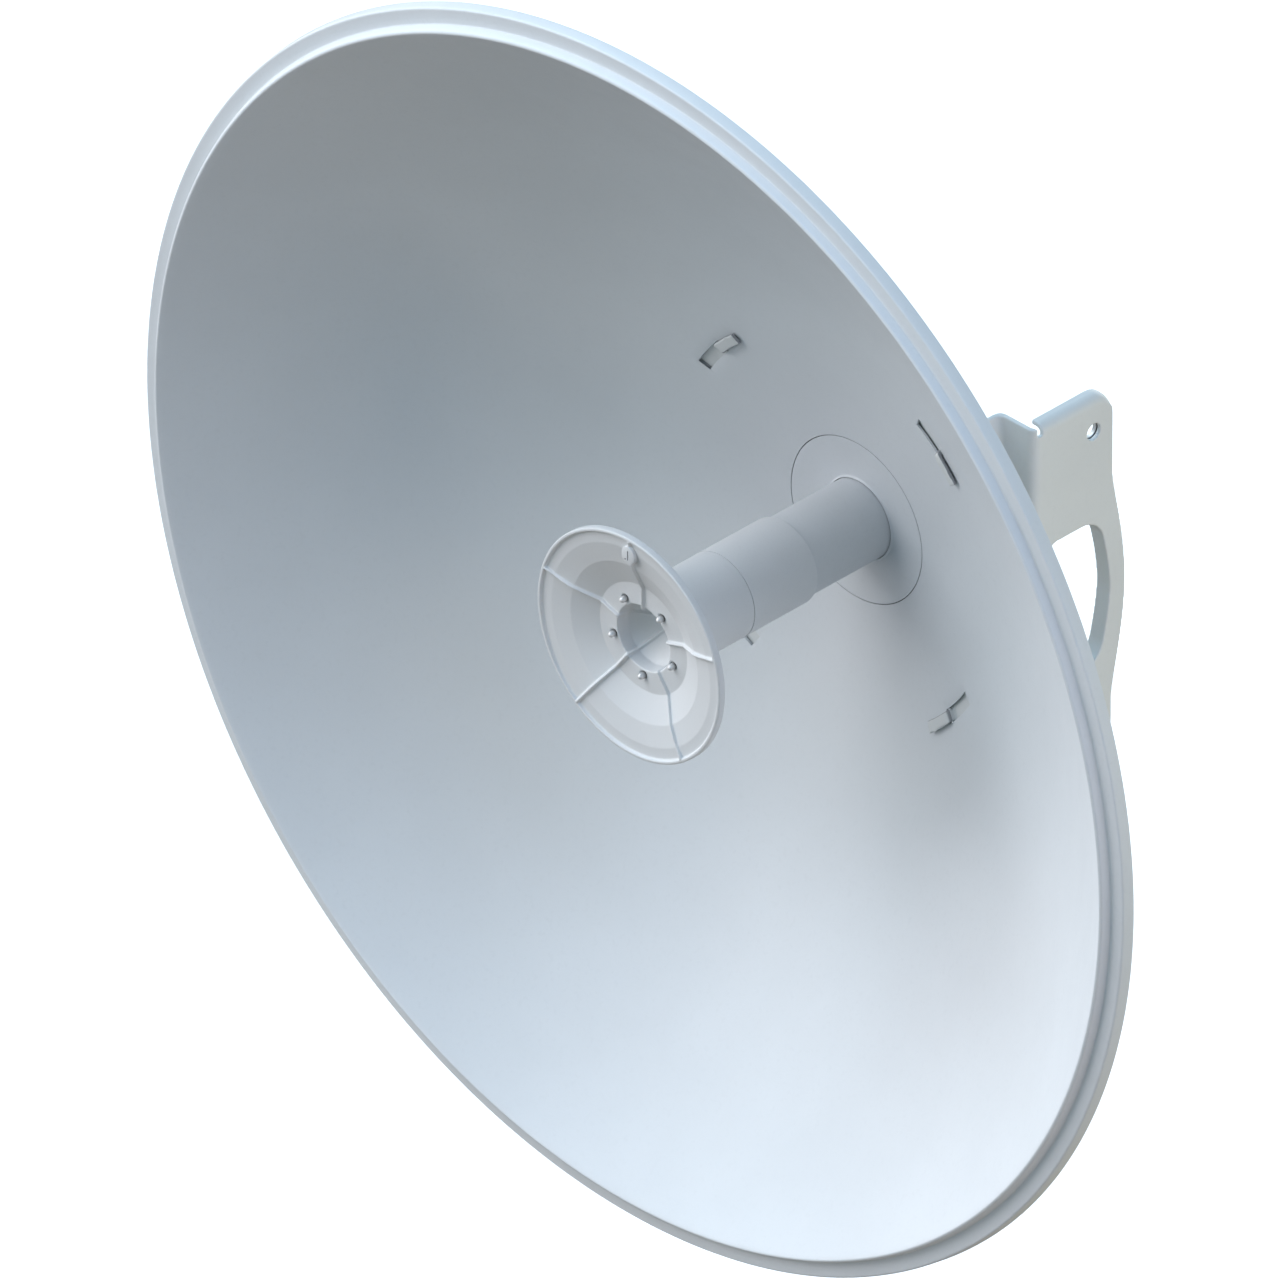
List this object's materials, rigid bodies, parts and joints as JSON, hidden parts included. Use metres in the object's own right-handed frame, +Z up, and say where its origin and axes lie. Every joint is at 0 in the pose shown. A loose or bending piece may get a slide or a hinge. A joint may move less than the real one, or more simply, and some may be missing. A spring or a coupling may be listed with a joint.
{
  "type": "parabolic dish antenna",
  "caption": "Centre-fed parabolic dish antenna: spun reflector, feed tube with a ribbed subreflector, and a pressed rear bracket that hooks through bayonet slots.",
  "frame": {"origin": "on the boresight, midway between the four bolt holes in the rear bracket's wings", "axes": "-Y along the boresight, the way the dish looks; +X to the right as seen from the front; +Z up"},
  "size_m": [0.652, 0.2203, 0.652],
  "materials": {
    "powder_coat": "fine satin powder coat, bluish white",
    "bracket_coat": "satin powder coat over pressed steel, pale grey",
    "tube_coat": "satin paint over drawn aluminium",
    "moulding": "fine-textured weatherproof moulding, pale grey",
    "aluminium": "turned",
    "zinc_plate": "bright zinc plate",
    "gold_plate": "gold-plated brass",
    "rubber": "black seal rubber"
  },
  "bodies": {
    "bracket": {"rear_bracket": "bracket_coat", "wing_nut_1": "zinc_plate", "wing_nut_2": "zinc_plate", "wing_nut_3": "zinc_plate", "wing_nut_4": "zinc_plate"},
    "dish": {"reflector": "powder_coat", "lock_stud_1": "zinc_plate", "lock_stud_2": "zinc_plate", "lock_stud_3": "zinc_plate", "lock_stud_4": "zinc_plate", "lock_nut_1": "zinc_plate", "lock_nut_2": "zinc_plate", "lock_nut_3": "zinc_plate", "lock_nut_4": "zinc_plate"},
    "feed": {"feed_body": "powder_coat", "waveguide_tube": "tube_coat", "subreflector": "moulding", "subreflector_support": "moulding", "joint_sleeve": "moulding", "rear_cover": "moulding", "ring_nut": "moulding", "waveguide_short": "aluminium", "subreflector_screw_1": "zinc_plate", "subreflector_screw_2": "zinc_plate", "subreflector_screw_3": "zinc_plate", "subreflector_screw_4": "zinc_plate", "subreflector_screw_5": "zinc_plate", "cover_screw_1": "zinc_plate", "cover_screw_2": "zinc_plate", "cover_screw_3": "zinc_plate", "cover_screw_4": "zinc_plate", "rf_connector_1": "gold_plate", "rf_connector_2": "gold_plate", "connector_nut_1": "gold_plate", "connector_nut_2": "gold_plate", "probe_lead_1": "gold_plate", "probe_lead_2": "gold_plate", "base_gasket": "rubber", "cover_gasket": "rubber"}
  },
  "joints": [
    {"name": "bayonet_lock", "type": "hinge", "parent": "bracket", "child": "dish", "pos_m": [0, 0, 0], "axis": [0, 1, 0], "range_deg": [0, 9]},
    {"name": "polarisation_turn", "type": "hinge", "parent": "dish", "child": "feed", "pos_m": [0, 0, 0], "axis": [0, 1, 0], "range_deg": [0, 45]}
  ]
}
